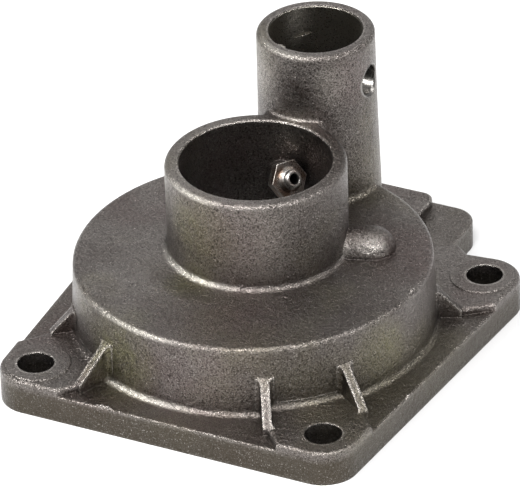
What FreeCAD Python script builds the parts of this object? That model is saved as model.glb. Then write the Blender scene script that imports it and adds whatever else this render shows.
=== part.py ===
import FreeCAD, Part
import math
import os
import Sketcher

# Water pump housing: one casting, and the turned jet nipple screwed into its inlet collar.
# Millimetres, Z up. The origin is the axis of the impeller chamber on the gasket face.

HALF_TURN = 180.0
TINY = 1e-4

SIZES = (
    # Base flange. The four bolt holes stand at the corners of a trapezium.
    ("left_hole_x", -37.7, "front left bolt hole"),
    ("front_hole_x", 38.9, "front right bolt hole"),
    ("front_holes_y", -43.0, "line of the two front bolt holes"),
    ("right_hole_x", 45.1, "rear right bolt hole"),
    ("rear_left_hole_x", -42.0, "rear left bolt hole"),
    ("rear_holes_y", 36.0, "line of the two rear bolt holes"),
    ("bolt_hole_diameter", 9.0, "clearance hole for an M8 bolt"),
    ("lobe_radius", 8.7, "rounded flange corner about each bolt hole"),
    ("pad_top", 8.9, "height of the corner pads"),
    ("web_top", 7.1, "height of the flange between the pads"),
    ("pad_edge", 1.0, "rounded upper edge of the pads"),
    ("web_edge", 0.5, "rounded upper edge of the flange between the pads"),
    ("washer_face_radius", 8.0, "round seat for the washer"),
    ("washer_face_shift", 0.6, "how far that seat stands towards the drum from the hole"),
    ("washer_face_rise", 0.25, "height of that seat above the pad"),
    ("washer_face_edge", 0.2, "rounded edge of that seat"),
    # Rear of the flange, under the outlet tube.
    ("tongue_back", 65.2, "rear edge of the flange"),
    ("tongue_half_width", 31.0, "half width of the rear of the flange"),
    ("tongue_corner", 6.5, "rounded rear corner"),
    ("tongue_waist_y", 48.8, "where the sides turn out to the bolt holes"),
    ("notch_half_width", 36.9, "half width where they meet the rounded corners"),
    ("notch_y", 43.8, "place of that meeting"),
    ("rear_pad_side", 16.4, "rear side of a rear corner pad, from its diagonal"),
    ("step_half_width", 19.9, "half width of the pad under the tube, about the tube"),
    ("step_corner", 3.4, "rounded corner of that pad"),
    ("step_rise", 0.5, "height of that pad above the corner pads"),
    ("step_edge", 0.4, "rounded edge of that pad"),
    # Drum over the impeller chamber.
    ("drum_radius", 44.5, "outside of the drum at its foot"),
    ("drum_top_radius", 43.8, "outside of the drum at its top"),
    ("drum_top", 25.1, "height of the drum"),
    ("drum_edge", 1.3, "rounded top edge"),
    ("foot_cove", 1.6, "hollow corner between drum and flange"),
    ("chamber_radius", 39.5, "impeller chamber"),
    ("chamber_ceiling", 21.4, "height of the chamber"),
    ("chamber_cove", 2.0, "rounded inside corner of the chamber"),
    # Inlet collar.
    ("collar_x", -0.8, "axis of the collar"),
    ("collar_y", 4.7, "axis of the collar"),
    ("collar_radius", 22.1, "outside of the collar"),
    ("collar_bore_radius", 18.55, "bore of the collar"),
    ("collar_top", 48.5, "rim of the collar"),
    ("rim_edge", 1.3, "rounded outer edge of both rims"),
    ("mouth_chamfer", 0.35, "broken inner edge of both rims"),
    ("neck_cove", 1.5, "hollow corner where collar and tube leave the drum"),
    # Outlet tube.
    ("tube_x", -1.1, "axis of the tube"),
    ("tube_y", 39.85, "axis of the tube"),
    ("tube_rim_radius", 14.55, "outside of the tube at its rim"),
    ("tube_radius", 14.7, "outside of the tube at the web"),
    ("tube_foot_radius", 15.25, "outside of the tube at the drum"),
    ("tube_bore_radius", 11.4, "bore of the tube"),
    ("tube_top", 66.2, "rim of the tube"),
    ("cross_hole_diameter", 7.3, "hole through the tube's right wall"),
    ("cross_hole_height", 55.0, "height of that hole"),
    ("cross_hole_chamfer", 0.6, "broken edge of that hole"),
    # Web between collar and tube.
    ("web_half_width", 8.2, "half width of the web"),
    ("web_edge_radius", 1.5, "rounded upper edge of the web"),
    ("web_cove", 0.8, "hollow corner where the web meets the tube"),
    # Half-round boss on the drum beside the collar.
    ("dome_radius", 5.6, "radius of the boss and of its round end"),
    ("dome_reach", 28.1, "end of the boss, from the collar's axis"),
    ("dome_angle", 17.5, "direction of the boss, from the X axis"),
    # Gusset ribs, two to a corner pad.
    ("rib_thickness", 2.2, "thickness of a rib"),
    ("rib_flare", 1.2, "hollow corners at the ends of a rib"),
    ("tall_rib_top", 17.5, "height of the front ribs on the drum"),
    ("tall_rib_reach", 53.4, "foot of the front ribs, from the drum's axis"),
    ("low_rib_top", 15.0, "height of the side ribs on the drum"),
    ("low_rib_reach", 50.4, "foot of the side ribs, from the drum's axis"),
    ("left_front_spread", 14.4, "angle from the front left diagonal to its front rib"),
    ("left_back_spread", 13.5, "angle from the front left diagonal to its side rib"),
    ("front_left_spread", 12.9, "angle from the front right diagonal to its left rib"),
    ("front_right_spread", 12.9, "angle from the front right diagonal to its right rib"),
    ("right_front_spread", 15.6, "angle from the rear right diagonal to its rib"),
    ("rear_front_spread", 15.6, "angle from the rear left diagonal to its rib"),
    # Jet nipple in the collar.
    ("jet_x", 0.3, "seat of the nipple"),
    ("jet_y", 17.9, "seat of the nipple"),
    ("jet_height", 35.75, "seat of the nipple"),
    ("jet_turn", -26.6, "direction of the nipple, from the X axis"),
    ("jet_rise", 26.5, "slope of the nipple above the horizontal"),
    ("jet_seat_radius", 4.0, "cast seat under the hexagon"),
    ("jet_root_radius", 4.2, "root of that seat in the collar's wall"),
    ("jet_root_angle", 98.0, "direction of the root, from the collar's axis"),
    ("jet_root_height", 33.0, "height of the root"),
    ("jet_root_depth", 1.2, "how far the root stands in the wall"),
    ("hexagon_flats", 8.8, "hexagon across its flats"),
    ("hexagon_thickness", 2.2, "thickness of the hexagon"),
    ("hexagon_turn", 25.0, "first corner of the hexagon"),
    ("shoulder_radius", 3.2, "round shoulder on the hexagon"),
    ("shoulder_height", 1.0, "end of the shoulder above the hexagon"),
    ("nose_radius", 2.15, "nose of the nipple"),
    ("nose_height", 2.2, "end of the nose above the hexagon"),
    ("jet_bore_radius", 1.4, "bore of the nipple"),
    ("shank_radius", 1.95, "screwed shank of the nipple"),
    ("shank_length", 2.4, "length of the shank"),
    ("thread_clearance", 0.05, "gap around the shank"),
)


class Term:
    """A number with the text of the sheet formula that gives it."""

    def __init__(self, number, text=None):
        self.number = float(number)
        self.text = text or repr(float(number))

    def combine(self, other, sign, number):
        return Term(number, "(%s %s %s)" % (self.text, sign, other.text))

    def __add__(self, other):
        other = as_term(other)
        return self.combine(other, "+", self.number + other.number)

    def __sub__(self, other):
        other = as_term(other)
        return self.combine(other, "-", self.number - other.number)

    def __mul__(self, other):
        other = as_term(other)
        return self.combine(other, "*", self.number * other.number)

    def __truediv__(self, other):
        other = as_term(other)
        return self.combine(other, "/", self.number / other.number)

    def __neg__(self):
        return Term(-self.number, "(0 - %s)" % self.text)


def as_term(value):
    return value if isinstance(value, Term) else Term(value)


def cosine(angle):
    """Cosine of an angle in degrees."""
    return Term(math.cos(math.radians(angle.number)), "cos(%s)" % angle.text)


def sine(angle):
    """Sine of an angle in degrees."""
    return Term(math.sin(math.radians(angle.number)), "sin(%s)" % angle.text)


def arc_cosine(ratio):
    """Angle in degrees whose cosine is a ratio."""
    return Term(math.degrees(math.acos(ratio.number)), "(acos(%s) / 1 deg)" % ratio.text)


def root(square):
    """Square root."""
    return Term(math.sqrt(square.number), "sqrt(%s)" % square.text)


def direction(place):
    """Angle in degrees of the line from the origin to a place."""
    x, y = place
    return Term(math.degrees(math.atan2(y.number, x.number)),
                "(atan2(%s; %s) / 1 deg)" % (y.text, x.text))


def size_sheet(doc):
    """Writes the driving dimensions to a sheet, one alias a row."""
    sheet = doc.addObject("Spreadsheet::Sheet", "sizes")
    for row, (alias, number, note) in enumerate(SIZES, 1):
        sheet.set("A%d" % row, alias)
        sheet.set("B%d" % row, str(number))
        sheet.set("C%d" % row, note)
        sheet.setAlias("B%d" % row, alias)
    doc.recompute()
    return sheet


class Sizes:
    """Reads a driving dimension as a term, by its alias."""

    def __init__(self, sheet):
        self.sheet = sheet

    def __getattr__(self, alias):
        return Term(self.sheet.get(alias), "sizes.%s" % alias)


def sketch_on(body, name, role):
    """A sketch on one of the body's own origin planes."""
    sketch = body.newObject("Sketcher::SketchObject", name)
    plane = [p for p in body.Origin.OriginFeatures if p.Role == role][0]
    sketch.AttachmentSupport = (plane, [""])
    sketch.MapMode = "FlatFace"
    return sketch


def fix(sketch, kind, places, term):
    """One dimension of a sketch, bound to its term."""
    index = sketch.addConstraint(Sketcher.Constraint(kind, *places, term.number))
    sketch.setExpression("Constraints[%d]" % index, term.text)
    return index


def fix_point(sketch, geometry, end, place):
    """Places one end or centre of a sketch line from the origin."""
    x, y = (as_term(value) for value in place)
    fix(sketch, "DistanceX", (-1, 1, geometry, end), x)
    fix(sketch, "DistanceY", (-1, 1, geometry, end), y)


def vector(place):
    x, y = (as_term(value) for value in place)
    return FreeCAD.Vector(x.number, y.number, 0)


def draw_circle(sketch, centre, radius):
    index = sketch.addGeometry(Part.Circle(vector(centre), FreeCAD.Vector(0, 0, 1), radius.number))
    fix_point(sketch, index, 3, centre)
    fix(sketch, "Radius", (index,), radius)


def arc_between(start, end, centre, radius):
    """The shorter arc about a centre, anticlockwise, and whether it runs from start to end."""
    one = math.atan2(start.y - centre.y, start.x - centre.x)
    two = math.atan2(end.y - centre.y, end.x - centre.x)
    forward = (two - one) % (2 * math.pi) < math.pi
    circle = Part.Circle(centre, FreeCAD.Vector(0, 0, 1), radius)
    if forward:
        return Part.ArcOfCircle(circle, one, two), True
    return Part.ArcOfCircle(circle, two, one), False


def draw_outline(sketch, corners, arcs=None):
    """A closed outline through corners; arcs maps a side's number to its centre and radius."""
    arcs = arcs or {}
    count = len(corners)
    ends = []
    for side in range(count):
        start = vector(corners[side])
        end = vector(corners[(side + 1) % count])
        first, last = 1, 2
        if side in arcs:
            centre, radius = arcs[side]
            shape, forward = arc_between(start, end, vector(centre), radius.number)
            if not forward:
                first, last = 2, 1
        else:
            shape = Part.LineSegment(start, end)
        index = sketch.addGeometry(shape)
        ends.append((index, first, last))
    for side, (index, first, last) in enumerate(ends):
        following, begin, finish = ends[(side + 1) % count]
        sketch.addConstraint(Sketcher.Constraint("Coincident", index, last, following, begin))
        fix_point(sketch, index, first, corners[side])
        if side in arcs:
            fix(sketch, "Radius", (index,), arcs[side][1])


def pad(body, sketch, name, height):
    """Raises a sketch from its plane."""
    feature = body.newObject("PartDesign::Pad", name)
    feature.Profile = sketch
    feature.Length = height.number
    feature.setExpression("Length", height.text)
    return feature


def pocket(body, sketch, name, depth, upward=True):
    """Cuts a sketch out of the body, upward from the gasket face unless told otherwise."""
    feature = body.newObject("PartDesign::Pocket", name)
    feature.Profile = sketch
    feature.Length = depth.number
    feature.setExpression("Length", depth.text)
    feature.Reversed = upward
    return feature


def turned(body, sketch, name, kind="PartDesign::Revolution"):
    """Turns a sketch about the vertical axis of its own plane."""
    feature = body.newObject(kind, name)
    feature.Profile = sketch
    feature.ReferenceAxis = (sketch, ["V_Axis"])
    feature.Angle = 360.0
    return feature


def shift(target, path, place):
    """Binds the three coordinates of a placement or an attachment offset."""
    for axis, value in zip("xyz", place):
        target.setExpression("%s.Base.%s" % (path, axis), as_term(value).text)


def holes_of(size):
    """The four bolt holes, by name."""
    return {
        "left": (size.left_hole_x, size.front_holes_y),
        "front": (size.front_hole_x, size.front_holes_y),
        "right": (size.right_hole_x, size.rear_holes_y),
        "rear": (size.rear_left_hole_x, size.rear_holes_y),
    }


def polar(radius, angle):
    return radius * cosine(angle), radius * sine(angle)


def flange(body, size):
    """Flange plate at pad height, its corners round about the bolt holes."""
    holes = holes_of(size)
    sketch = sketch_on(body, "flange_outline", "XY_Plane")
    lobe = size.lobe_radius.number

    def corner(name, start, end):
        centre = vector(holes[name])
        circle = Part.Circle(centre, FreeCAD.Vector(0, 0, 1), lobe)
        arc = Part.ArcOfCircle(circle, math.radians(start), math.radians(end))
        index = sketch.addGeometry(arc)
        fix_point(sketch, index, 3, holes[name])
        fix(sketch, "Radius", (index,), size.lobe_radius)
        return index

    def tongue_corner(side):
        x = size.tongue_half_width * side - size.tongue_corner * side
        y = size.tongue_back - size.tongue_corner
        begin, finish = (0, 90) if side > 0 else (90, 180)
        circle = Part.Circle(vector((x, y)), FreeCAD.Vector(0, 0, 1), size.tongue_corner.number)
        arc = Part.ArcOfCircle(circle, math.radians(begin), math.radians(finish))
        index = sketch.addGeometry(arc)
        fix(sketch, "DistanceX", (-1, 1, index, 3), x)
        fix(sketch, "DistanceY", (-1, 1, index, 3), y)
        fix(sketch, "Radius", (index,), size.tongue_corner)
        return index

    def line(start, end):
        return sketch.addGeometry(Part.LineSegment(start, end))

    def join(first, first_end, second, second_end, kind="Tangent"):
        sketch.addConstraint(Sketcher.Constraint(kind, first, first_end, second, second_end))

    left = corner("left", 175, 270)
    front = corner("front", 270, 360)
    right = corner("right", 0, 95)
    right_tongue = tongue_corner(1)
    left_tongue = tongue_corner(-1)
    rear = corner("rear", 85, 180)

    def point(index, end):
        shape = sketch.Geometry[index]
        return shape.StartPoint if end == 1 else shape.EndPoint

    front_edge = line(point(left, 2), point(front, 1))
    right_edge = line(point(front, 2), point(right, 1))
    notch = vector((size.notch_half_width, size.notch_y))
    waist = vector((size.tongue_half_width, size.tongue_waist_y))
    right_back = line(point(right, 2), notch)
    right_notch = line(notch, waist)
    right_side = line(waist, point(right_tongue, 1))
    back_edge = line(point(right_tongue, 2), point(left_tongue, 1))
    far_waist = vector((-size.tongue_half_width, size.tongue_waist_y))
    far_notch = vector((-size.notch_half_width, size.notch_y))
    left_side = line(point(left_tongue, 2), far_waist)
    left_notch = line(far_waist, far_notch)
    left_back = line(far_notch, point(rear, 1))
    left_edge = line(point(rear, 2), point(left, 1))

    join(left, 2, front_edge, 1)
    join(front_edge, 2, front, 1)
    join(front, 2, right_edge, 1)
    join(right_edge, 2, right, 1)
    join(right, 2, right_back, 1)
    join(right_back, 2, right_notch, 1, "Coincident")
    join(right_notch, 2, right_side, 1, "Coincident")
    join(right_side, 2, right_tongue, 1)
    join(right_tongue, 2, back_edge, 1)
    join(back_edge, 2, left_tongue, 1)
    join(left_tongue, 2, left_side, 1)
    join(left_side, 2, left_notch, 1, "Coincident")
    join(left_notch, 2, left_back, 1, "Coincident")
    join(left_back, 2, rear, 1)
    join(rear, 2, left_edge, 1)
    join(left_edge, 2, left, 1)
    fix_point(sketch, right_back, 2, (size.notch_half_width, size.notch_y))
    fix_point(sketch, right_notch, 2, (size.tongue_half_width, size.tongue_waist_y))
    fix_point(sketch, left_side, 2, (-size.tongue_half_width, size.tongue_waist_y))
    fix_point(sketch, left_notch, 2, (-size.notch_half_width, size.notch_y))
    return pad(body, sketch, "flange_plate", size.pad_top)


def ribs_of(size):
    """The gusset ribs: the hole each belongs to, its side of the diagonal, spread, top and reach."""
    tall = (size.tall_rib_top, size.tall_rib_reach)
    low = (size.low_rib_top, size.low_rib_reach)
    return {
        "left_front": ("left", 1, size.left_front_spread) + tall,
        "left_back": ("left", -1, size.left_back_spread) + low,
        "front_left": ("front", -1, size.front_left_spread) + tall,
        "front_right": ("front", 1, size.front_right_spread) + tall,
        "right_front": ("right", -1, size.right_front_spread) + low,
        "rear_front": ("rear", 1, size.rear_front_spread) + low,
    }


def rib_angle(size, name):
    """Direction of a rib from the drum's axis."""
    hole, side, spread, top, reach = ribs_of(size)[name]
    return direction(holes_of(size)[hole]) + spread * side


def far_along(start, angle, size):
    """A point well outside the flange, from a start point in a direction."""
    beyond = size.tongue_back + size.tongue_back
    return start[0] + beyond * cosine(angle), start[1] + beyond * sine(angle)


def rib_side(size, rib):
    """Side of a pad that starts at the foot of a rib and runs out beside the diagonal: foot and far point."""
    hole, side, spread, top, reach = ribs_of(size)[rib]
    foot = polar(reach, rib_angle(size, rib))
    return foot, far_along(foot, direction(holes_of(size)[hole]), size)


def rear_side(size, hole, side):
    """Rear side of a rear pad, which starts under the drum: foot and far point."""
    diagonal = direction(holes_of(size)[hole])
    along = size.chamber_radius
    across = size.rear_pad_side * side
    foot = (along * cosine(diagonal) - across * sine(diagonal),
            along * sine(diagonal) + across * cosine(diagonal))
    return foot, far_along(foot, diagonal, size)


def relief(body, size, name, first, second):
    """Lowers the flange between two pads, from the side of one to the side of the other."""
    foot_one, far_one = first
    foot_two, far_two = second
    sketch = sketch_on(body, name + "_outline", "XY_Plane")
    draw_outline(sketch, [(Term(0), Term(0)), foot_one, far_one, far_two, foot_two])
    shift(sketch, "AttachmentOffset", (0, 0, size.pad_top))
    return pocket(body, sketch, name, size.pad_top - size.web_top, upward=False)


def reliefs(body, size):
    """The four low stretches of the flange: front, right, left and rear."""
    relief(body, size, "front_relief", rib_side(size, "left_front"), rib_side(size, "front_left"))
    relief(body, size, "right_relief", rib_side(size, "front_right"), rib_side(size, "right_front"))
    relief(body, size, "left_relief", rib_side(size, "rear_front"), rib_side(size, "left_back"))
    relief(body, size, "rear_relief", rear_side(size, "right", 1), rear_side(size, "rear", -1))


def level_edges(shape, height):
    """The edges of a shape that lie at a height, by their names, with their end points."""
    found = {}
    for number, edge in enumerate(shape.Edges, 1):
        ends = [vertex.Point for vertex in edge.Vertexes]
        if all(abs(end.z - height) < TINY for end in ends):
            found["Edge%d" % number] = (edge, ends)
    return found


def stands_on_gasket(shape, edge):
    """True if an upright face under an edge reaches down to the gasket face."""
    faces = shape.ancestorsOfType(edge, Part.Face)
    return any(face.BoundBox.ZMin < TINY and face.BoundBox.ZLength > 1 for face in faces)


def rounding(doc, body, name, names, radius):
    """Rounds named edges of the body as it is so far."""
    base = body.Tip
    feature = body.newObject("PartDesign::Fillet", name)
    feature.Base = (base, names)
    feature.Radius = radius.number
    feature.setExpression("Radius", radius.text)
    doc.recompute()


def soften_flange(doc, body, size):
    """Rounds the upper edges of the pads and, less, of the low stretches between them."""
    doc.recompute()
    shape = body.Tip.Shape
    pads = level_edges(shape, size.pad_top.number)
    outside = [name for name, (edge, ends) in pads.items() if stands_on_gasket(shape, edge)]
    corners = [end for name in outside for end in pads[name][1]]
    sides = [name for name, (edge, ends) in pads.items() if name not in outside
             and any(end.distanceToPoint(corner) < TINY for end in ends for corner in corners)]
    rounding(doc, body, "pad_edges", outside + sides, size.pad_edge)
    shape = body.Tip.Shape
    low = level_edges(shape, size.web_top.number)
    rounding(doc, body, "web_edges",
             [name for name, (edge, ends) in low.items() if stands_on_gasket(shape, edge)], size.web_edge)


def washer_faces(doc, body, size):
    """Low round seats about two of the bolt holes, their edges round."""
    holes = holes_of(size)
    sketch = sketch_on(body, "washer_face_outline", "XY_Plane")
    for name in ("left", "right"):
        x, y = holes[name]
        inward = direction((-x, -y))
        centre = (x + size.washer_face_shift * cosine(inward), y + size.washer_face_shift * sine(inward))
        draw_circle(sketch, centre, size.washer_face_radius)
    top = size.pad_top + size.washer_face_rise
    pad(body, sketch, "washer_faces", top)
    doc.recompute()
    rims = list(level_edges(body.Tip.Shape, top.number))
    rounding(doc, body, "washer_face_edges", rims, size.washer_face_edge)


def step_top(size):
    """Height of the pad under the outlet tube."""
    return size.pad_top + size.step_rise


def rear_step(doc, body, size):
    """Pad under the outlet tube, reaching the rear edge of the flange, its edges round."""
    sketch = sketch_on(body, "rear_step_outline", "XY_Plane")
    right = size.tube_x + size.step_half_width
    left = size.tube_x - size.step_half_width
    back = size.tongue_back
    bend = size.step_corner
    corners = [(left, Term(0)), (right, Term(0)), (right, back - bend), (right - bend, back),
               (left + bend, back), (left, back - bend)]
    arcs = {2: ((right - bend, back - bend), bend), 4: ((left + bend, back - bend), bend)}
    draw_outline(sketch, corners, arcs)
    top = step_top(size)
    pad(body, sketch, "rear_step", top)
    doc.recompute()
    rims = list(level_edges(body.Tip.Shape, top.number))
    rounding(doc, body, "rear_step_edges", rims, size.step_edge)


def drum(body, size):
    """Low drum: slightly tapered wall, round top edge, hollow corner at its foot."""
    sketch = sketch_on(body, "drum_profile", "XZ_Plane")
    outer = size.drum_radius + size.foot_cove
    foot = size.web_top + size.foot_cove
    edge = size.drum_top_radius - size.drum_edge
    shoulder = size.drum_top - size.drum_edge
    corners = [(Term(0), Term(0)), (outer, Term(0)), (outer, size.web_top), (size.drum_radius, foot),
               (size.drum_top_radius, shoulder), (edge, size.drum_top), (Term(0), size.drum_top)]
    arcs = {2: ((outer, foot), size.foot_cove), 4: ((edge, shoulder), size.drum_edge)}
    draw_outline(sketch, corners, arcs)
    turned(body, sketch, "drum")


def pipe_profile(sketch, radius, foot_radius, foot, top, cove, edge):
    """Half section of a solid round post with a hollow corner at its foot and a round rim."""
    corners = [(Term(0), Term(1)), (foot_radius + cove, Term(1)), (foot_radius + cove, foot),
               (foot_radius, foot + cove), (radius, top - edge), (radius - edge, top), (Term(0), top)]
    arcs = {2: ((foot_radius + cove, foot + cove), cove), 4: ((radius - edge, top - edge), edge)}
    draw_outline(sketch, corners, arcs)


def collar(body, size):
    """Inlet collar, still solid, standing on the drum."""
    sketch = sketch_on(body, "collar_profile", "XZ_Plane")
    pipe_profile(sketch, size.collar_radius, size.collar_radius, size.drum_top,
                 size.collar_top, size.neck_cove, size.rim_edge)
    shift(sketch, "AttachmentOffset", (size.collar_x, 0, -size.collar_y))
    turned(body, sketch, "collar")


def tube(body, size):
    """Outlet tube, still solid, slightly tapered down to the pad under it."""
    sketch = sketch_on(body, "tube_profile", "XZ_Plane")
    top = size.tube_top
    edge = size.rim_edge
    radius = size.tube_rim_radius
    foot = size.tube_foot_radius
    corners = [(Term(0), Term(0)), (foot, Term(0)), (foot, size.drum_top),
               (size.tube_radius, size.collar_top), (radius, top - edge), (radius - edge, top),
               (Term(0), top)]
    draw_outline(sketch, corners, {4: ((radius - edge, top - edge), edge)})
    shift(sketch, "AttachmentOffset", (size.tube_x, 0, -size.tube_y))
    turned(body, sketch, "tube")


def cove_ring(body, size, name, centre, radius, height, cove, start, end):
    """Part of a ring that fills the corner between a round wall and the flat it stands on.

    It runs about a centre, anticlockwise from one direction to the other.
    """
    sketch = sketch_on(body, name + "_profile", "XZ_Plane")
    inner = radius - cove
    corners = [(inner, height - cove), (radius + cove, height - cove), (radius + cove, height),
               (radius, height + cove), (inner, height + cove)]
    draw_outline(sketch, corners, {2: ((radius + cove, height + cove), cove)})
    middle = (start + end) / 2
    sketch.AttachmentOffset = FreeCAD.Placement(
        FreeCAD.Vector(0, 0, 0), FreeCAD.Rotation(FreeCAD.Vector(0, 1, 0), middle.number))
    shift(sketch, "AttachmentOffset", (centre[0], 0, -centre[1]))
    ring = turned(body, sketch, name)
    ring.Midplane = True
    ring.Angle = (end - start).number
    ring.setExpression("Angle", (end - start).text)


def coves(body, size):
    """Hollow corners on the corner pads, and where the tube meets the drum and the web."""
    origin = (Term(0), Term(0))
    side = size.step_half_width
    wall = size.drum_radius
    step_right = arc_cosine((size.tube_x + side) / wall)
    step_left = arc_cosine((size.tube_x - side) / wall)
    holes = holes_of(size)
    across = size.rear_pad_side
    pad_reach = direction((root(wall * wall - across * across), across))
    for name, start, end in (
            ("left_pad_cove", rib_angle(size, "left_back"), rib_angle(size, "left_front")),
            ("front_pad_cove", rib_angle(size, "front_left"), rib_angle(size, "front_right")),
            ("right_pad_cove", rib_angle(size, "right_front"), direction(holes["right"]) + pad_reach),
            ("rear_pad_cove", direction(holes["rear"]) - pad_reach, rib_angle(size, "rear_front"))):
        cove_ring(body, size, name, origin, wall, size.pad_top, size.foot_cove, start, end)
    cove_ring(body, size, "rear_step_cove", origin, wall, step_top(size), size.foot_cove,
              step_right, step_left)

    centre = (size.tube_x, size.tube_y)
    inward = direction((-size.tube_x, -size.tube_y))
    foot = size.tube_foot_radius + size.neck_cove
    flat = size.drum_top_radius - size.drum_edge
    apart = size.tube_x * size.tube_x + size.tube_y * size.tube_y
    reach = arc_cosine((apart + foot * foot - flat * flat) / (root(apart) * foot * 2))
    cove_ring(body, size, "tube_cove", centre, size.tube_foot_radius, size.drum_top, size.neck_cove,
              inward - reach, inward + reach)
    across = arc_cosine((size.web_edge_radius - size.web_half_width) / size.tube_radius)
    cove_ring(body, size, "web_cove", centre, size.tube_radius, size.collar_top, size.web_cove,
              -across, across - HALF_TURN)


def web(body, size):
    """Web between collar and tube, flush with the collar's rim, its upper edges round."""
    sketch = sketch_on(body, "web_section", "XZ_Plane")
    left = size.tube_x - size.web_half_width
    right = size.tube_x + size.web_half_width
    top = size.collar_top
    bend = size.web_edge_radius
    foot = size.chamber_ceiling
    corners = [(left, foot), (right, foot), (right, top - bend), (right - bend, top), (left + bend, top),
               (left, top - bend)]
    arcs = {2: ((right - bend, top - bend), bend), 4: ((left + bend, top - bend), bend)}
    draw_outline(sketch, corners, arcs)
    shift(sketch, "AttachmentOffset", (0, 0, -size.tube_y))
    pad(body, sketch, "web", size.tube_y - size.collar_y)


def dome(body, size):
    """Half-round boss on the drum, running out of the collar and closed by a round end."""
    angle = size.dome_angle
    end = (size.collar_x + size.dome_reach * cosine(angle), size.collar_y + size.dome_reach * sine(angle))
    ball = body.newObject("PartDesign::AdditiveSphere", "dome_end")
    ball.Radius = size.dome_radius.number
    ball.setExpression("Radius", size.dome_radius.text)
    shift(ball, "Placement", (end[0], end[1], size.drum_top))
    barrel = body.newObject("PartDesign::AdditiveCylinder", "dome_barrel")
    barrel.Radius = size.dome_radius.number
    barrel.setExpression("Radius", size.dome_radius.text)
    length = size.dome_reach - size.collar_bore_radius
    barrel.Height = length.number
    barrel.setExpression("Height", length.text)
    barrel.Placement.Rotation = tilted(angle.number, 0.0)
    start = (size.collar_x + size.collar_bore_radius * cosine(angle),
             size.collar_y + size.collar_bore_radius * sine(angle))
    shift(barrel, "Placement", (start[0], start[1], size.drum_top))


def tilted(turn, rise):
    """Rotation that lays the Z axis along a direction: turn from X, rise above the horizontal."""
    return (FreeCAD.Rotation(FreeCAD.Vector(0, 0, 1), turn)
            * FreeCAD.Rotation(FreeCAD.Vector(0, 1, 0), 90.0 - rise))


def gusset(doc, size, name):
    """One gusset rib, as a body of its own, drawn along X and then turned into place.

    It flares where it leaves the drum, and at its toe on the side of the pad. Its crest slopes to the pad.
    """
    hole, side, spread, top, reach = ribs_of(size)[name]
    body = doc.addObject("PartDesign::Body", "rib_" + name)
    half = size.rib_thickness / 2
    flare = size.rib_flare
    wall = size.drum_radius
    inside = wall - (size.drum_radius - size.chamber_radius) / 2
    toe = reach - flare
    plan = sketch_on(body, name + "_plan", "XY_Plane")
    corners = [(inside, -half - flare), (wall, -half - flare), (wall + flare, -half), (toe, -half),
               (reach, -half - flare), (reach, half), (wall + flare, half), (wall, half + flare),
               (inside, half + flare)]
    arcs = {1: ((wall + flare, -half - flare), flare), 3: ((toe, -half - flare), flare),
            6: ((wall + flare, half + flare), flare)}
    if side < 0:
        corners = [(x, -y) for x, y in corners]
        arcs = {number: ((x, -y), radius) for number, ((x, y), radius) in arcs.items()}
    draw_outline(plan, corners, arcs)
    floor = size.web_top / 2
    shift(plan, "AttachmentOffset", (0, 0, floor))
    pad(body, plan, name + "_block", top - floor)
    slope = sketch_on(body, name + "_slope", "XZ_Plane")
    above = top + flare
    draw_outline(slope, [(wall, top), (reach, size.pad_top), (reach + flare, size.pad_top),
                         (reach + flare, above), (wall, above)])
    cut = pocket(body, slope, name + "_crest", size.rib_thickness + flare * 4)
    cut.Midplane = True
    body.Placement.Rotation = FreeCAD.Rotation(FreeCAD.Vector(0, 0, 1), rib_angle(size, name).number)
    return body


def join_bodies(body, name, tools):
    """Fuses the ribs' bodies into the casting."""
    feature = body.newObject("PartDesign::Boolean", name)
    feature.Type = "Fuse"
    feature.setObjects(tools)
    return feature


def bores(body, size):
    """Chamber, collar bore, tube bore down to the gasket face, bolt holes and cross hole."""
    chamber = sketch_on(body, "chamber_profile", "XZ_Plane")
    cove = size.chamber_cove
    radius = size.chamber_radius
    ceiling = size.chamber_ceiling
    draw_outline(chamber, [(Term(0), Term(-1)), (radius, Term(-1)), (radius, ceiling - cove),
                           (radius - cove, ceiling), (Term(0), ceiling)],
                 {2: ((radius - cove, ceiling - cove), cove)})
    turned(body, chamber, "chamber", "PartDesign::Groove")

    mouth = size.mouth_chamfer
    for name, x, y, radius, top in (
            ("collar_bore", size.collar_x, size.collar_y, size.collar_bore_radius, size.collar_top),
            ("tube_bore", size.tube_x, size.tube_y, size.tube_bore_radius, size.tube_top)):
        section = sketch_on(body, name + "_profile", "XZ_Plane")
        above = top + mouth
        draw_outline(section, [(Term(0), Term(-1)), (radius, Term(-1)), (radius, top - mouth),
                               (radius + mouth * 2, above), (Term(0), above)])
        shift(section, "AttachmentOffset", (x, 0, -y))
        turned(body, section, name, "PartDesign::Groove")

    bolts = sketch_on(body, "bolt_hole_outline", "XY_Plane")
    for place in holes_of(size).values():
        draw_circle(bolts, place, size.bolt_hole_diameter / 2)
    pocket(body, bolts, "bolt_holes", size.pad_top * 2)

    cross = sketch_on(body, "cross_hole_outline", "YZ_Plane")
    draw_circle(cross, (size.tube_y, size.cross_hole_height), size.cross_hole_diameter / 2)
    shift(cross, "AttachmentOffset", (0, 0, size.tube_x))
    pocket(body, cross, "cross_hole", size.tube_foot_radius + size.tube_bore_radius)

    sink = body.newObject("PartDesign::SubtractiveCone", "cross_hole_chamfer")
    rim = size.cross_hole_diameter / 2
    depth = size.cross_hole_chamfer
    sink.Radius1 = rim.number
    sink.setExpression("Radius1", rim.text)
    wide = rim + depth * 2
    sink.Radius2 = wide.number
    sink.setExpression("Radius2", wide.text)
    deep = depth * 2
    sink.Height = deep.number
    sink.setExpression("Height", deep.text)
    sink.Placement.Rotation = tilted(0.0, 0.0)
    face = root(size.tube_radius * size.tube_radius - rim * rim)
    shift(sink, "Placement", (size.tube_x + face - depth / 2, size.tube_y, size.cross_hole_height))


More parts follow.
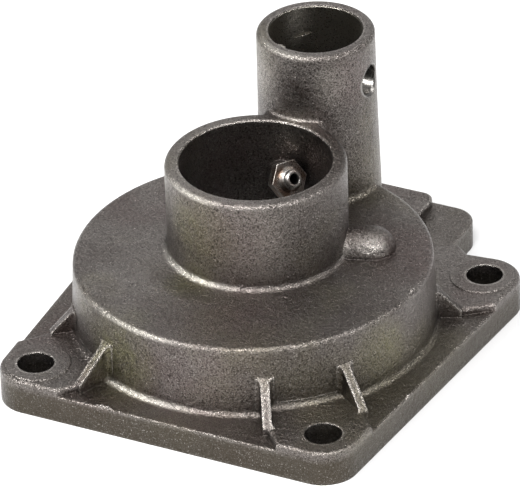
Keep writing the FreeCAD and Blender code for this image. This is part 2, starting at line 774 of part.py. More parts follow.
def jet_seat(body, size):
    """Cast seat for the jet nipple: a skewed boss from the collar's wall to a round slanting face."""
    root_sketch = sketch_on(body, "jet_root", "XY_Plane")
    draw_circle(root_sketch, (Term(0), Term(0)), size.jet_root_radius)
    reach = size.collar_bore_radius + size.jet_root_depth
    x, y = polar(reach, size.jet_root_angle)
    root_sketch.AttachmentOffset = FreeCAD.Placement(
        FreeCAD.Vector(0, 0, 0), tilted(size.jet_root_angle.number + HALF_TURN, 0.0))
    shift(root_sketch, "AttachmentOffset", (size.collar_x + x, size.collar_y + y, size.jet_root_height))
    face = sketch_on(body, "jet_face", "XY_Plane")
    draw_circle(face, (Term(0), Term(0)), size.jet_seat_radius)
    face.AttachmentOffset = FreeCAD.Placement(
        FreeCAD.Vector(0, 0, 0), tilted(size.jet_turn.number, size.jet_rise.number))
    shift(face, "AttachmentOffset", (size.jet_x, size.jet_y, size.jet_height))
    boss = body.newObject("PartDesign::AdditiveLoft", "jet_seat")
    boss.Profile = root_sketch
    boss.Sections = [face]
    boss.Ruled = True

    tap = body.newObject("PartDesign::SubtractiveCylinder", "jet_tapping")
    radius = size.shank_radius + size.thread_clearance
    tap.Radius = radius.number
    tap.setExpression("Radius", radius.text)
    depth = size.shank_length + size.thread_clearance * 4
    tap.Height = depth.number
    tap.setExpression("Height", depth.text)
    tap.Placement.Rotation = tilted(size.jet_turn.number + HALF_TURN, -size.jet_rise.number)
    shift(tap, "Placement", (size.jet_x, size.jet_y, size.jet_height))


def housing(doc, size):
    """The casting: plate and posts first, then the ribs, then everything that is hollow."""
    ribs = [gusset(doc, size, name) for name in ribs_of(size)]
    body = doc.addObject("PartDesign::Body", "housing")
    body.Label = "housing"
    flange(body, size)
    reliefs(body, size)
    rear_step(doc, body, size)
    soften_flange(doc, body, size)
    washer_faces(doc, body, size)
    drum(body, size)
    collar(body, size)
    tube(body, size)
    web(body, size)
    dome(body, size)
    coves(body, size)
    join_bodies(body, "ribs", ribs)
    bores(body, size)
    jet_seat(body, size)
    return body


def jet_nipple(doc, size):
    """Turned nipple: hexagon, round shoulder, nose with a bore, and the shank in its tapping."""
    body = doc.addObject("PartDesign::Body", "jet_nipple")
    body.Label = "jet_nipple"
    outline = sketch_on(body, "hexagon_outline", "XY_Plane")
    corner = size.hexagon_flats / math.sqrt(3.0)
    draw_outline(outline, [polar(corner, size.hexagon_turn + 60.0 * step) for step in range(6)])
    pad(body, outline, "hexagon", size.hexagon_thickness)

    profile = sketch_on(body, "nose_profile", "XZ_Plane")
    base = size.hexagon_thickness
    shoulder = base + size.shoulder_height
    tip = base + size.nose_height
    bead = size.nose_radius / 8
    neck = shoulder + bead * 2
    draw_outline(profile, [(Term(0), -size.shank_length), (size.shank_radius, -size.shank_length),
                           (size.shank_radius, base / 2), (size.shoulder_radius, base / 2),
                           (size.shoulder_radius, base + bead), (size.nose_radius + bead, shoulder),
                           (size.nose_radius - bead, shoulder), (size.nose_radius - bead, neck),
                           (size.nose_radius, neck), (size.nose_radius, tip - bead),
                           (size.nose_radius - bead, tip), (Term(0), tip)])
    turned(body, profile, "nose")

    bore = sketch_on(body, "jet_bore_outline", "XY_Plane")
    draw_circle(bore, (Term(0), Term(0)), size.jet_bore_radius)
    through = pocket(body, bore, "jet_bore", size.shank_length)
    through.Midplane = True
    length = (size.shank_length + tip) * 2
    through.Length = length.number
    through.setExpression("Length", length.text)
    body.Placement.Rotation = tilted(size.jet_turn.number, size.jet_rise.number)
    shift(body, "Placement", (size.jet_x, size.jet_y, size.jet_height))
    return body


def check(doc):
    """Stops if any object of the document failed."""
    for item in doc.Objects:
        for word in ("Invalid", "Error"):
            if word in item.State:
                raise RuntimeError("%s is %s" % (item.Name, item.State))


def main():
    doc = FreeCAD.newDocument("pump_housing")
    sheet = size_sheet(doc)
    size = Sizes(sheet)
    pieces = [housing(doc, size), jet_nipple(doc, size)]
    doc.recompute()
    check(doc)
    os.makedirs("parts", exist_ok=True)
    for piece in pieces:
        shape = piece.Shape
        if shape.isNull() or not shape.isValid():
            raise RuntimeError("%s has no sound shape" % piece.Label)
        print(piece.Label, "solids", len(shape.Solids), "volume", round(shape.Volume, 1))
        shape.exportStep(os.path.join("parts", piece.Label + ".step"))


main()
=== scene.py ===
"""Dresses the cast pump housing and its jet nipple for a studio picture.

The casting gets one procedural skin and five small lumps of casting flash, and the nipple a turned finish.
Lengths are named in millimetres, and turned into metres where a node or a mesh takes them.
"""
import math
from collections import namedtuple

import bpy
import numpy as np
from mathutils import Matrix, Vector


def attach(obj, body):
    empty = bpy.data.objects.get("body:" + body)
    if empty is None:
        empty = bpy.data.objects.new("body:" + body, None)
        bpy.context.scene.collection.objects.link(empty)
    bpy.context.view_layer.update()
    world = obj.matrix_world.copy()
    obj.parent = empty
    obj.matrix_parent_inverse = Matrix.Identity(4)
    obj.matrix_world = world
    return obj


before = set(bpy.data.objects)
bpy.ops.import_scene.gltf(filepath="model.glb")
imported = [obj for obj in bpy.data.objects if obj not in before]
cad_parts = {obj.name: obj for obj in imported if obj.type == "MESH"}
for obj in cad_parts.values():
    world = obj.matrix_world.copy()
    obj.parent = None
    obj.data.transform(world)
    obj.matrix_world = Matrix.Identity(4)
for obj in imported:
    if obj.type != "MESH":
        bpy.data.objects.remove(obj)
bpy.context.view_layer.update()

MM = 0.001

# Where the photograph was taken from, as a walk round the object. The distance and both clips are in metres,
# and the sensor's width is in millimetres.
EYE_TURN = math.radians(27.07)
EYE_RISE = math.radians(31.76)
EYE_ROLL = math.radians(-2.03)
EYE_DISTANCE = 1.48285
EYE_AIM = Vector((-3.79, 11.37, 20.33)) * MM
FOCAL_PIXELS = 6072.0
PICTURE_WIDTH = 520.0
SENSOR_WIDTH = 36.0
CLIP_START = 0.01
CLIP_END = 50.0

# The studio, in metres, with each lamp's turn and rise in degrees and its power in watts.
Lamp = namedtuple("Lamp", "name turn rise width power")
FLOOR_HALF = 3.0
FLOOR_GREY = 0.78
FLOOR_ROUGHNESS = 0.9
ROOM_STRENGTH = 0.36
LAMP_DISTANCE = 0.9
LAMPS = (
    Lamp("above", 25.0, 60.0, 0.5, 8.0),
    Lamp("left", -40.0, 48.0, 0.2, 7.0),
    Lamp("right", 111.0, 41.0, 0.16, 2.2),
    Lamp("behind", 207.0, 34.0, 0.8, 2.0),
)

# Noises in the metal, each by the width of its lumps, its detail and its roughness.
Lumps = namedtuple("Lumps", "size detail rough")
SPECK = Lumps(0.30, 1.0, 0.5)
GRAIN = Lumps(0.40, 4.0, 0.7)
LEATHER = Lumps(1.3, 3.0, 0.6)
BLOTCH = Lumps(4.0, 4.0, 0.65)
CLOUD = Lumps(14.0, 5.0, 0.6)
STAIN = Lumps(30.0, 3.0, 0.5)
TOOL_MARK = Lumps(0.3, 2.0, 0.55)
HEAT = Lumps(4.0, 2.0, 0.55)

# How high each noise stands in the surface, and how strongly it shows there.
Relief = namedtuple("Relief", "depth strength")
CLOUD_RELIEF = Relief(0.40, 0.6)
BLOTCH_RELIEF = Relief(0.20, 0.5)
LEATHER_RELIEF = Relief(0.36, 1.0)
GRAIN_RELIEF = Relief(0.20, 1.0)
TOOL_MARK_RELIEF = Relief(0.02, 0.5)

# How much of the leather and the grain each bore loses, for a full share of its mark.
THROAT_CALM = 3.0
MOUTH_CALM = 0.9
CROSS_HOLE_CALM = 0.9

# Edges that look rounder than the solids.
SoftEdge = namedtuple("SoftEdge", "radius samples")
CAST_EDGE = SoftEdge(0.45, 6)
TURNED_EDGE = SoftEdge(0.12, 8)

# How far the metal looks for other metal: outwards for sheltered corners, and inwards for ridges.
NOOK_REACH = 20.0
RIDGE_REACH = 1.0
TURNED_NOOK_REACH = 3.0
TURNED_RIDGE_REACH = 0.5
CLOSENESS_SAMPLES = 8

# Parts of the casting and of the nipple's nose where the skin differs, and how gradually it changes there.
DRUM_AXIS = (0.0, 0.0, 0.0)
COLLAR_AXIS = (-0.8, 4.7, 0.0)
COLLAR_BORE = 18.6
COLLAR_BORE_FADE = 0.3
COLLAR_DARK_TOP = 48.0
COLLAR_TOP_FADE = 1.0
TUBE_AXIS = (-1.1, 39.85, 0.0)
TUBE_BORE = 11.5
TUBE_BORE_FADE = 0.1
MOUTH_FOOT = 44.0
MOUTH_TOP = 50.0
CROSS_HOLE_AXIS = (0.0, 39.85, 55.0)
CROSS_HOLE_RADIUS = 4.5
CROSS_HOLE_FADE = 0.1
CROSS_HOLE_FROM_X = 8.0
CROSS_HOLE_X_FADE = 0.2
BOSS_FOOT = 25.5
BOSS_FADE = 0.6
RIM_BROWN_TOP = 7.6
RIM_BROWN_FOOT = 5.8
NOSE_SPOT = (3.2, 16.5, 37.4)
NOSE_RADIUS = 2.9
NOSE_CORE = 0.7

# Plain colours of the metal, without its films, and the colours of its painted light and shade.
DARK_METAL = (0.122, 0.105, 0.095)
PALE_METAL = (0.204, 0.185, 0.172)
WORN_METAL = (0.520, 0.485, 0.450)
RUBBED_HIGHLIGHT_METAL = (0.620, 0.585, 0.545)
HIGHLIGHT_METAL = (0.620, 0.590, 0.530)
SHADED_METAL = (0.052, 0.046, 0.030)
RIM_BROWN = (0.060, 0.050, 0.036)
MOUTH_LIGHT = (0.360, 0.335, 0.290)
THROAT_SHADE = (0.030, 0.024, 0.018)
NOOK_SHADE = (0.012, 0.010, 0.009)
CROSS_HOLE_METAL = (0.240, 0.228, 0.215)
TURNED_METAL = (0.46, 0.43, 0.40)
NOSE_METAL = (0.80, 0.78, 0.75)

# How strongly each of them shows.
WORN_SHARE = 0.75
RUBBED_HIGHLIGHT_SHARE = 0.45
RIM_BROWN_SHARE = 0.82
MOUTH_SHARE = 0.75
THROAT_SHARE = 0.05
NOOK_SHADE_SHARE = 0.76
MOUTH_NOOK_SHADE_SHARE = 0.30
NOSE_SHARE = 0.9

# Limits of a noise or of a closeness, between which a mark goes from nothing to full.
METAL_SPAN = (0.32, 0.68)
NOOK_SPAN = (0.46, 0.88)
WORN_SPAN = (0.06, 0.36)
WORN_PATCHES = (0.36, 0.56, 0.40, 1.0)
RUBBED_HIGHLIGHT_PATCHES = (0.41, 0.55, 0.30, 1.0)
RAGGED_PATCHES = (0.34, 0.60, 0.35, 1.0)
CAST_ROUGHNESS = (0.30, 0.70, 0.22, 0.38)
TURNED_ROUGHNESS = (0.3, 0.7, 0.22, 0.38)
WORN_SHINE = 0.06

# Layers of another colour, each with the limits of the value that it follows: films, grain, specks, tool
# marks, bright ridges and painted shade.
Layer = namedtuple("Layer", "low high strength colour")
OLIVE_FILM = Layer(0.52, 0.66, 0.50, (0.180, 0.162, 0.104))
PURPLE_FILM = Layer(0.46, 0.32, 0.55, (0.135, 0.096, 0.092))
DARK_GRAIN = Layer(0.51, 0.61, 0.92, (0.022, 0.018, 0.016))
PALE_GRAIN = Layer(0.46, 0.36, 0.30, (0.400, 0.368, 0.345))
BRIGHT_SPECKS = Layer(0.64, 0.76, 0.60, (0.560, 0.530, 0.500))
HEAT_FILM = Layer(0.38, 0.58, 1.0, (0.24, 0.17, 0.13))
DARK_TOOL_MARKS = Layer(0.50, 0.66, 0.6, (0.08, 0.06, 0.05))
BRIGHT_RIDGES = Layer(0.15, 0.45, 0.45, (0.75, 0.72, 0.68))
TURNED_NOOK_SHADE = Layer(0.42, 0.75, 0.95, (0.010, 0.009, 0.008))

# The rubbed top and front of the small boss, which also carry a painted highlight, each spot by its middle
# and radius.
RUBBED_HIGHLIGHT_SPOTS = (((28.8, 7.8, 26.4), 5.0), ((20.8, 5.5, 26.4), 3.6))

# Stains and patches of painted light and shade, with ragged edges, each with the spots that it covers. The
# first lies lowest.
RaggedPatch = namedtuple("RaggedPatch", "strength colour spots")
STAINS_AND_PAINTED_LIGHT = (
    # Painted light: paler metal on the lit collar front, on the web and on both sides of the tube's front.
    RaggedPatch(0.85, (0.340, 0.312, 0.282), (
        ((-10.0, -15.0, 37.0), 20.0), ((6.0, -17.0, 37.0), 14.0), ((0.5, 23.5, 48.5), 7.5),
        ((-11.0, 28.5, 58.0), 8.5), ((8.5, 28.5, 58.0), 6.5))),
    # Olive oil film on the collar, at its foot and on the drum's side.
    RaggedPatch(0.90, (0.236, 0.222, 0.128), (
        ((-6.0, -17.0, 38.0), 12.0), ((-8.0, -19.0, 25.5), 7.0), ((-15.0, -40.0, 15.0), 13.0),
        ((40.5, -15.0, 16.0), 10.0))),
    # Painted shade: darker metal on the right of the tube, the collar and the drum, away from the light.
    RaggedPatch(0.55, (0.088, 0.076, 0.070), (
        ((13.0, 35.0, 44.0), 16.0), ((20.0, -2.0, 38.0), 12.0), ((38.0, -22.0, 16.0), 15.0))),
    # Purple film on the collar, the drum and the tube.
    RaggedPatch(0.50, (0.176, 0.134, 0.132), (
        ((2.0, -17.0, 38.0), 14.0), ((6.0, -43.0, 14.0), 17.0), ((8.0, -32.0, 25.0), 18.0),
        ((12.0, 34.0, 58.0), 9.0))),
    # Painted shade: a dark band down the tube's front, and a painted shadow beside the boss.
    RaggedPatch(0.85, (0.062, 0.046, 0.040), (
        ((0.0, 25.5, 56.0), 7.5), ((21.0, 12.5, 30.0), 5.5))),
)

# Painted highlights along round edges and hollow corners, and a painted shadow on the drum's top beside the
# collar's foot. Each ring has its axis, radius and level, how far its mark reaches, the middle of the marked
# stretch, how far that stretch goes, and its strength. The mark is full up to a core, which is a share of
# the reach and of the stretch.
Ring = namedtuple("Ring", "axis radius level reach middle stretch strength")
REACH_CORE = 0.4
STRETCH_CORE = 0.3
HIGHLIGHT_RINGS = (
    Ring(COLLAR_AXIS, 22.7, 25.7, 1.2, (-11.0, -15.5, 26.0), 16.0, 0.62),
    Ring(COLLAR_AXIS, 21.6, 48.0, 1.0, (-10.0, -15.5, 48.0), 11.0, 0.45),
    Ring(DRUM_AXIS, 43.3, 24.6, 0.9, (-13.0, -41.0, 24.5), 19.0, 0.42),
    Ring(DRUM_AXIS, 45.1, 7.7, 1.3, (-13.0, -43.0, 7.7), 20.0, 0.62),
    Ring(TUBE_AXIS, 13.5, 65.6, 1.1, (-6.0, 27.0, 65.6), 10.0, 0.42),
)
SHADED_RINGS = (Ring(COLLAR_AXIS, 27.0, 25.0, 4.0, (-6.0, -22.0, 25.0), 20.0, 0.50),)

# Lumps of casting flash and one scratch, each from its start to its end.
Flash = namedtuple("Flash", "name start end width height ripple")
FLASH_ROWS = 25
FLASH_AROUND = 12
SLOW_RIPPLE = 19.0
QUICK_RIPPLE = 43.0
QUICK_RIPPLE_SHIFT = 1.0
FLASHES = (
    Flash("front_flash", (-17.8, -51.1, 6.9), (-12.6, -51.1, 6.9), 0.40, 0.80, 0.4),
    Flash("right_flash", (49.15, -19.2, 6.95), (49.35, -16.8, 6.95), 0.40, 0.55, 0.3),
    Flash("drum_edge_flash", (42.6, -2.2, 25.0), (42.6, 1.4, 25.0), 0.45, 0.45, 0.3),
    Flash("tube_mouth_flash", (-7.0, 30.0, 65.6), (-3.9, 28.8, 65.6), 0.9, 0.35, 0.4),
    Flash("tube_scratch", (-10.2, 46.6, 58.0), (-6.7, 49.7, 58.7), 0.10, 0.05, 0.3),
)


def metres(point):
    """A point in millimetres, turned into metres."""
    return tuple(value * MM for value in point)


def wire(tree, start, end):
    """Joins an output socket to an input socket."""
    tree.links.new(start, end)


def feed(tree, value, socket):
    """Wires a socket into another one, or stores a plain value there."""
    if isinstance(value, bpy.types.NodeSocket):
        wire(tree, value, socket)
    else:
        socket.default_value = value


def node(tree, kind, **inputs):
    """Adds a shader node and feeds its inputs by name."""
    made = tree.nodes.new(kind)
    for name, value in inputs.items():
        feed(tree, value, made.inputs[name.replace("_", " ")])
    return made


def noise(tree, place, lumps):
    """The height of a noise, from 0 to 1."""
    made = node(tree, "ShaderNodeTexNoise", Vector=place, Scale=1.0 / (lumps.size * MM),
                Detail=lumps.detail, Roughness=lumps.rough)
    return made.outputs["Fac"]


def spread(tree, value, low, high, new_low=0.0, new_high=1.0):
    """Stretches value from low and high to new_low and new_high, and clamps it there."""
    made = node(tree, "ShaderNodeMapRange", Value=value, From_Min=low, From_Max=high, To_Min=new_low,
                To_Max=new_high)
    return made.outputs["Result"]


def ramp(tree, length, start, end, first=0.0, last=1.0):
    """Stretches a length from start and end, in millimetres, to first and last, and clamps it there."""
    return spread(tree, length, start * MM, end * MM, first, last)


def maths(tree, work, first, second):
    """The result of one sum on two values."""
    made = tree.nodes.new("ShaderNodeMath")
    made.operation = work
    feed(tree, first, made.inputs[0])
    feed(tree, second, made.inputs[1])
    return made.outputs["Value"]


def times(tree, first, second):
    """The product of two values."""
    return maths(tree, "MULTIPLY", first, second)


def highest(tree, values):
    """The highest of several values."""
    top = values[0]
    for value in values[1:]:
        top = maths(tree, "MAXIMUM", top, value)
    return top


def vector_maths(tree, work, place, other):
    """A node that does one sum on a place and a fixed vector."""
    made = tree.nodes.new("ShaderNodeVectorMath")
    made.operation = work
    wire(tree, place, made.inputs[0])
    made.inputs[1].default_value = other
    return made


def distance(tree, place, point):
    """Distance in metres from a place to a point given in millimetres."""
    return vector_maths(tree, "DISTANCE", place, metres(point)).outputs["Value"]


def scaled(tree, place, factors):
    """A place with each coordinate multiplied by its own factor."""
    return vector_maths(tree, "MULTIPLY", place, factors).outputs["Vector"]


def from_axis(tree, place, axis):
    """Distance in metres from an upright axis."""
    return distance(tree, scaled(tree, place, (1.0, 1.0, 0.0)), axis)


def height_of(tree, place):
    """How high a place is above the gasket face, in metres."""
    return node(tree, "ShaderNodeSeparateXYZ", Vector=place).outputs["Z"]


def colour_socket(sockets, name):
    """The colour socket with a name, out of a mix node's sockets of every kind."""
    return next(socket for socket in sockets if socket.name == name and socket.type == "RGBA")


def tint(tree, share, below, above):
    """Lays one colour over another by a share from 0 to 1. Each is a socket or a plain colour."""
    made = tree.nodes.new("ShaderNodeMix")
    made.data_type = "RGBA"
    wire(tree, share, made.inputs["Factor"])
    for name, value in (("A", below), ("B", above)):
        plain = not isinstance(value, bpy.types.NodeSocket)
        feed(tree, (*value, 1.0) if plain else value, colour_socket(made.inputs, name))
    return colour_socket(made.outputs, "Result")


def lay_layer(tree, value, layer, below):
    """Lays a layer of colour over another colour, as strongly as a value stands between the layer's limits.
    """
    return tint(tree, spread(tree, value, layer.low, layer.high, 0.0, layer.strength), below, layer.colour)


def closeness(tree, reach, inward):
    """Is 0 on an open flat face, and grows with the share of directions that meet metal within a reach.

    Looking outwards it marks sheltered corners, and looking into the metal it marks ridges.
    """
    made = tree.nodes.new("ShaderNodeAmbientOcclusion")
    made.inside = inward
    made.only_local = inward
    made.samples = CLOSENESS_SAMPLES
    made.inputs["Distance"].default_value = reach * MM
    return maths(tree, "SUBTRACT", 1.0, made.outputs["AO"])


def near_spots(tree, place, spots, strength):
    """Grows from 0 at a spot's radius to strength at a third of it, the highest of several spots."""
    return highest(tree, [ramp(tree, distance(tree, place, middle), radius, radius / 3.0, 0.0, strength)
                          for middle, radius in spots])


def near_ring(tree, place, height, ring):
    """Has the ring's strength along one stretch of its circle, and fades to 0 away from it.

    The gap to the circle is the root of the sum of two squares: how far the place is outside the circle's
    radius, and how far it is above the circle's level.
    """
    outward = maths(tree, "SUBTRACT", from_axis(tree, place, ring.axis), ring.radius * MM)
    upward = maths(tree, "SUBTRACT", height, ring.level * MM)
    square = maths(tree, "ADD", times(tree, outward, outward), times(tree, upward, upward))
    gap = maths(tree, "POWER", square, 0.5)
    near = ramp(tree, gap, ring.reach, ring.reach * REACH_CORE, 0.0, ring.strength)
    along = ramp(tree, distance(tree, place, ring.middle), ring.stretch, ring.stretch * STRETCH_CORE)
    return times(tree, near, along)


def near_rings(tree, place, height, rings):
    """The highest share of several rings."""
    return highest(tree, [near_ring(tree, place, height, ring) for ring in rings])


def cross_hole_share(tree, place):
    """Is 1 in the hole drilled through the tube's wall and on its chamfer, and 0 elsewhere."""
    across = distance(tree, scaled(tree, place, (0.0, 1.0, 1.0)), CROSS_HOLE_AXIS)
    near = ramp(tree, across, CROSS_HOLE_RADIUS, CROSS_HOLE_RADIUS - CROSS_HOLE_FADE)
    outward = node(tree, "ShaderNodeSeparateXYZ", Vector=place).outputs["X"]
    return times(tree, near, ramp(tree, outward, CROSS_HOLE_FROM_X, CROSS_HOLE_FROM_X + CROSS_HOLE_X_FADE))


def throat_share(tree, place, height):
    """Marks the inside of the collar, below its rim, where shade is painted and the bump is calmer."""
    across = from_axis(tree, place, COLLAR_AXIS)
    inside = ramp(tree, across, COLLAR_BORE + COLLAR_BORE_FADE, COLLAR_BORE, 0.0, THROAT_SHARE)
    return times(tree, inside, ramp(tree, height, COLLAR_DARK_TOP, COLLAR_DARK_TOP - COLLAR_TOP_FADE))


def mouth_share(tree, place, height):
    """Marks the inside of the tube's upper end, where light is painted and the bump is calmer."""
    across = from_axis(tree, place, TUBE_AXIS)
    inside = ramp(tree, across, TUBE_BORE + TUBE_BORE_FADE, TUBE_BORE, 0.0, MOUTH_SHARE)
    return times(tree, inside, ramp(tree, height, MOUTH_FOOT, MOUTH_TOP))


def nook_shade_share(tree, height):
    """Painted shade in sheltered corners, fainter high up, where the tube's mouth lets the light in."""
    nook = spread(tree, closeness(tree, NOOK_REACH, False), *NOOK_SPAN, 0.0, NOOK_SHADE_SHARE)
    return times(tree, nook, ramp(tree, height, MOUTH_FOOT, MOUTH_TOP, 1.0, MOUTH_NOOK_SHADE_SHARE))


def rubbed_highlight_share(tree, place, height, leather):
    """Marks the boss's worn patches, which also carry a painted highlight."""
    rubbed_highlight = near_spots(tree, place, RUBBED_HIGHLIGHT_SPOTS, 1.0)
    rubbed_highlight = times(tree, rubbed_highlight, ramp(tree, height, BOSS_FOOT, BOSS_FOOT + BOSS_FADE))
    return times(tree, rubbed_highlight, spread(tree, leather, *RUBBED_HIGHLIGHT_PATCHES))


def blank_metal(name):
    """A new material with an empty metal shader. Returns the material, its node tree and the shader."""
    material = bpy.data.materials.new(name)
    material.use_nodes = True
    tree = material.node_tree
    shader = tree.nodes["Principled BSDF"]
    shader.inputs["Metallic"].default_value = 1.0
    return material, tree, shader


def object_place(tree):
    """The object's own coordinates, in metres."""
    return tree.nodes.new("ShaderNodeTexCoord").outputs["Object"]


def soft_normal(tree, edge):
    """The surface's direction, with its edges rounded."""
    made = node(tree, "ShaderNodeBevel", Radius=edge.radius * MM)
    made.samples = edge.samples
    return made.outputs["Normal"]


def bump(tree, height, relief, normal):
    """Raises the surface by height times the relief's depth, over a given direction."""
    made = node(tree, "ShaderNodeBump", Height=height, Distance=relief.depth * MM, Strength=relief.strength,
                Normal=normal)
    return made.outputs["Normal"]


def cast_skin():
    """Shot-blasted cast metal, grained and oil-stained, worn bright on its ridges, with painted shade in its
    nooks and bores, and painted light, shade and highlights in patches and along round edges.
    """
    material, tree, shader = blank_metal("cast_skin")
    place = object_place(tree)
    height = height_of(tree, place)
    speck, grain, leather, blotch, cloud, stain = (
        noise(tree, place, lumps) for lumps in (SPECK, GRAIN, LEATHER, BLOTCH, CLOUD, STAIN))

    rubbed_highlight = rubbed_highlight_share(tree, place, height, leather)
    # Worn ridges, and the boss's worn patches with their painted highlight.
    worn = highest(tree, (spread(tree, closeness(tree, RIDGE_REACH, True), *WORN_SPAN), rubbed_highlight))
    worn = times(tree, worn, spread(tree, blotch, *WORN_PATCHES))
    ragged = spread(tree, blotch, *RAGGED_PATCHES)
    throat = throat_share(tree, place, height)
    mouth = mouth_share(tree, place, height)
    cross_hole = cross_hole_share(tree, place)

    colour = tint(tree, spread(tree, cloud, *METAL_SPAN), DARK_METAL, PALE_METAL)
    colour = lay_layer(tree, stain, OLIVE_FILM, colour)
    colour = lay_layer(tree, stain, PURPLE_FILM, colour)
    # Stains, and patches of painted light and shade, each ragged at its edge.
    for mark in STAINS_AND_PAINTED_LIGHT:
        share = times(tree, near_spots(tree, place, mark.spots, mark.strength), ragged)
        colour = tint(tree, share, colour, mark.colour)
    colour = tint(tree, times(tree, worn, WORN_SHARE), colour, WORN_METAL)
    colour = lay_layer(tree, grain, DARK_GRAIN, colour)
    colour = lay_layer(tree, grain, PALE_GRAIN, colour)
    # Darker brown towards the bottom, over the flange's sides.
    browned = ramp(tree, height, RIM_BROWN_TOP, RIM_BROWN_FOOT, 0.0, RIM_BROWN_SHARE)
    colour = tint(tree, browned, colour, RIM_BROWN)
    # Painted shadow beside the collar's foot, then painted highlights along round edges and hollow corners.
    colour = tint(tree, near_rings(tree, place, height, SHADED_RINGS), colour, SHADED_METAL)
    colour = tint(tree, near_rings(tree, place, height, HIGHLIGHT_RINGS), colour, HIGHLIGHT_METAL)
    # Painted highlight over the worn boss.
    colour = tint(tree, times(tree, rubbed_highlight, RUBBED_HIGHLIGHT_SHARE), colour, RUBBED_HIGHLIGHT_METAL)
    colour = lay_layer(tree, speck, BRIGHT_SPECKS, colour)
    # Painted light inside the tube's upper end, where light falls in through the mouth.
    colour = tint(tree, mouth, colour, MOUTH_LIGHT)
    # Painted shade inside the collar.
    colour = tint(tree, throat, colour, THROAT_SHADE)
    # Painted shade in sheltered corners.
    colour = tint(tree, nook_shade_share(tree, height), colour, NOOK_SHADE)
    colour = tint(tree, cross_hole, colour, CROSS_HOLE_METAL)
    wire(tree, colour, shader.inputs["Base Color"])

    dull = spread(tree, grain, *CAST_ROUGHNESS)
    wire(tree, maths(tree, "SUBTRACT", dull, times(tree, worn, WORN_SHINE)), shader.inputs["Roughness"])

    # The bores are smoother than the outside, so their leather and grain stand lower.
    calm = highest(tree, (times(tree, throat, THROAT_CALM), times(tree, mouth, MOUTH_CALM),
                          times(tree, cross_hole, CROSS_HOLE_CALM)))
    rough = maths(tree, "SUBTRACT", 1.0, calm)
    normal = bump(tree, cloud, CLOUD_RELIEF, soft_normal(tree, CAST_EDGE))
    normal = bump(tree, blotch, BLOTCH_RELIEF, normal)
    normal = bump(tree, times(tree, leather, rough), LEATHER_RELIEF, normal)
    normal = bump(tree, times(tree, grain, rough), GRAIN_RELIEF, normal)
    wire(tree, normal, shader.inputs["Normal"])
    return material


def turned_metal():
    """Bright turned metal with fine tool marks, browned by heat, with painted shade that makes it black in
    its nooks and down its bore.
    """
    material, tree, shader = blank_metal("turned_metal")
    place = object_place(tree)
    marks = noise(tree, place, TOOL_MARK)
    from_nose = distance(tree, place, NOSE_SPOT)
    nose = ramp(tree, from_nose, NOSE_RADIUS, NOSE_RADIUS * NOSE_CORE, 0.0, NOSE_SHARE)
    colour = lay_layer(tree, noise(tree, place, HEAT), HEAT_FILM, TURNED_METAL)
    colour = lay_layer(tree, marks, DARK_TOOL_MARKS, colour)
    colour = lay_layer(tree, closeness(tree, TURNED_RIDGE_REACH, True), BRIGHT_RIDGES, colour)
    colour = tint(tree, nose, colour, NOSE_METAL)
    # Painted shade in the nipple's nooks and down its bore.
    colour = lay_layer(tree, closeness(tree, TURNED_NOOK_REACH, False), TURNED_NOOK_SHADE, colour)
    wire(tree, colour, shader.inputs["Base Color"])
    wire(tree, spread(tree, marks, *TURNED_ROUGHNESS), shader.inputs["Roughness"])
    normal = bump(tree, marks, TOOL_MARK_RELIEF, soft_normal(tree, TURNED_EDGE))
    wire(tree, normal, shader.inputs["Normal"])
    return material


def flash_line(flash, material):
    """A closed lump of casting flash along a line, left where the mould's halves met.

    At a share s of the line and an angle a round it, the skin stands off the line by width times cosine a
    across it and height times sine a upwards. Both are scaled by the root of the sine of half a turn times
    s, and by one plus a ripple that is the mean of two sines of s. Its two ends close in single points.
    """
    share = np.linspace(0.0, 1.0, FLASH_ROWS)[1:-1, None]
    turn = np.linspace(0.0, 2.0 * np.pi, FLASH_AROUND, endpoint=False)[None, :]
    start, end = np.array(flash.start) * MM, np.array(flash.end) * MM
    along = (end - start) / np.linalg.norm(end - start)
    across = np.cross((0.0, 0.0, 1.0), along)
    across /= np.linalg.norm(across)
    up = np.cross(along, across)
    waves = (np.sin(SLOW_RIPPLE * share) + np.sin(QUICK_RIPPLE * share + QUICK_RIPPLE_SHIFT)) / 2.0
    swell = np.sqrt(np.sin(np.pi * share)) * (1.0 + flash.ripple * waves)
    middle = start + share[..., None] * (end - start)
    skin = (middle + (swell * flash.width * MM * np.cos(turn))[..., None] * across
            + (swell * flash.height * MM * np.sin(turn))[..., None] * up)
    points = np.concatenate((skin.reshape(-1, 3), [start], [end]))

    ring = np.arange(FLASH_AROUND)
    following = (ring + 1) % FLASH_AROUND
    low = (np.arange(FLASH_ROWS - 3) * FLASH_AROUND)[:, None]
    high = low + FLASH_AROUND
    last = (FLASH_ROWS - 3) * FLASH_AROUND
    sides = np.stack((low + ring, low + following, high + following, high + ring), axis=-1)
    foot = np.stack((following, ring, np.full(FLASH_AROUND, len(points) - 2)), axis=-1)
    head = np.stack((last + ring, last + following, np.full(FLASH_AROUND, len(points) - 1)), axis=-1)
    faces = sides.reshape(-1, 4).tolist() + foot.tolist() + head.tolist()

    mesh = bpy.data.meshes.new(flash.name)
    mesh.from_pydata(points.tolist(), [], faces)
    mesh.polygons.foreach_set("use_smooth", [True] * len(faces))
    mesh.materials.append(material)
    piece = bpy.data.objects.new(flash.name, mesh)
    bpy.context.scene.collection.objects.link(piece)
    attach(piece, "root")


def paint(piece, material):
    """Gives every slot of an object the same material."""
    if not piece.data.materials:
        piece.data.materials.append(material)
    for slot in piece.material_slots:
        slot.material = material


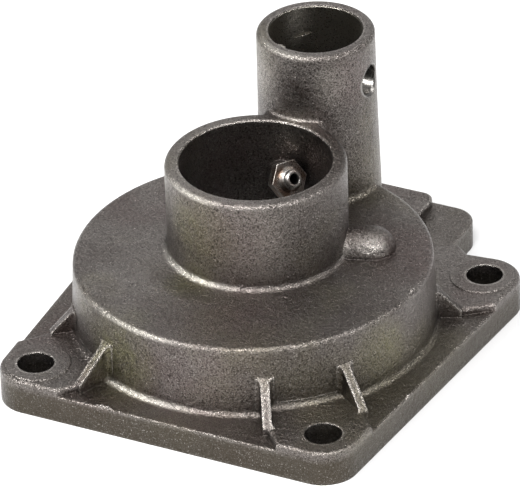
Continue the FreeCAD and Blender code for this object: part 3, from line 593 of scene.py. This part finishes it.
def studio_floor():
    """A plain pale floor under the gasket face."""
    half = FLOOR_HALF
    corners = [(-half, -half, 0.0), (half, -half, 0.0), (half, half, 0.0), (-half, half, 0.0)]
    mesh = bpy.data.meshes.new("floor")
    mesh.from_pydata(corners, [], [(0, 1, 2, 3)])
    floor = bpy.data.objects.new("floor", mesh)
    bpy.context.scene.collection.objects.link(floor)
    material = bpy.data.materials.new("pale_floor")
    material.use_nodes = True
    shader = material.node_tree.nodes["Principled BSDF"]
    shader.inputs["Base Color"].default_value = (FLOOR_GREY, FLOOR_GREY, FLOOR_GREY, 1.0)
    shader.inputs["Roughness"].default_value = FLOOR_ROUGHNESS
    mesh.materials.append(material)


def outward_from_aim(turn, rise):
    """The direction from the aim at a turn about Z and a rise above the floor, both in radians."""
    return Vector((math.sin(turn) * math.cos(rise), -math.cos(turn) * math.cos(rise), math.sin(rise)))


def soft_lamp(lamp):
    """A square soft box that looks at the object."""
    away = outward_from_aim(math.radians(lamp.turn), math.radians(lamp.rise))
    data = bpy.data.lights.new(lamp.name, "AREA")
    data.shape = "SQUARE"
    data.size = lamp.width
    data.energy = lamp.power
    stand = bpy.data.objects.new(lamp.name, data)
    stand.location = EYE_AIM + away * LAMP_DISTANCE
    stand.rotation_euler = away.to_track_quat("Z", "Y").to_euler()
    bpy.context.scene.collection.objects.link(stand)


def studio_light():
    """White surroundings, a wide lamp above the camera, one at each side and a broad one behind."""
    world = bpy.data.worlds.new("white_room")
    world.use_nodes = True
    room = world.node_tree.nodes["Background"]
    room.inputs["Color"].default_value = (1.0, 1.0, 1.0, 1.0)
    room.inputs["Strength"].default_value = ROOM_STRENGTH
    bpy.context.scene.world = world
    for lamp in LAMPS:
        soft_lamp(lamp)


def place_camera():
    """Stands the camera where the photograph was taken, by turn, rise, roll and distance from its aim."""
    back = outward_from_aim(EYE_TURN, EYE_RISE)
    level = Vector((math.cos(EYE_TURN), math.sin(EYE_TURN), 0.0))
    upright = back.cross(level)
    right = level * math.cos(EYE_ROLL) + upright * math.sin(EYE_ROLL)
    up = upright * math.cos(EYE_ROLL) - level * math.sin(EYE_ROLL)
    data = bpy.data.cameras.new("camera")
    data.sensor_width = SENSOR_WIDTH
    data.sensor_fit = "HORIZONTAL"
    data.lens = FOCAL_PIXELS * SENSOR_WIDTH / PICTURE_WIDTH
    data.clip_start = CLIP_START
    data.clip_end = CLIP_END
    camera = bpy.data.objects.new("camera", data)
    facing = Matrix((right, up, back)).transposed().to_4x4()
    camera.matrix_world = Matrix.Translation(EYE_AIM + back * EYE_DISTANCE) @ facing
    bpy.context.scene.collection.objects.link(camera)
    bpy.context.scene.camera = camera


skin = cast_skin()
paint(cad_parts["housing"], skin)
for flash in FLASHES:
    flash_line(flash, skin)
paint(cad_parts["jet_nipple"], turned_metal())
studio_floor()
studio_light()
place_camera()
bpy.context.scene.view_settings.view_transform = "Standard"
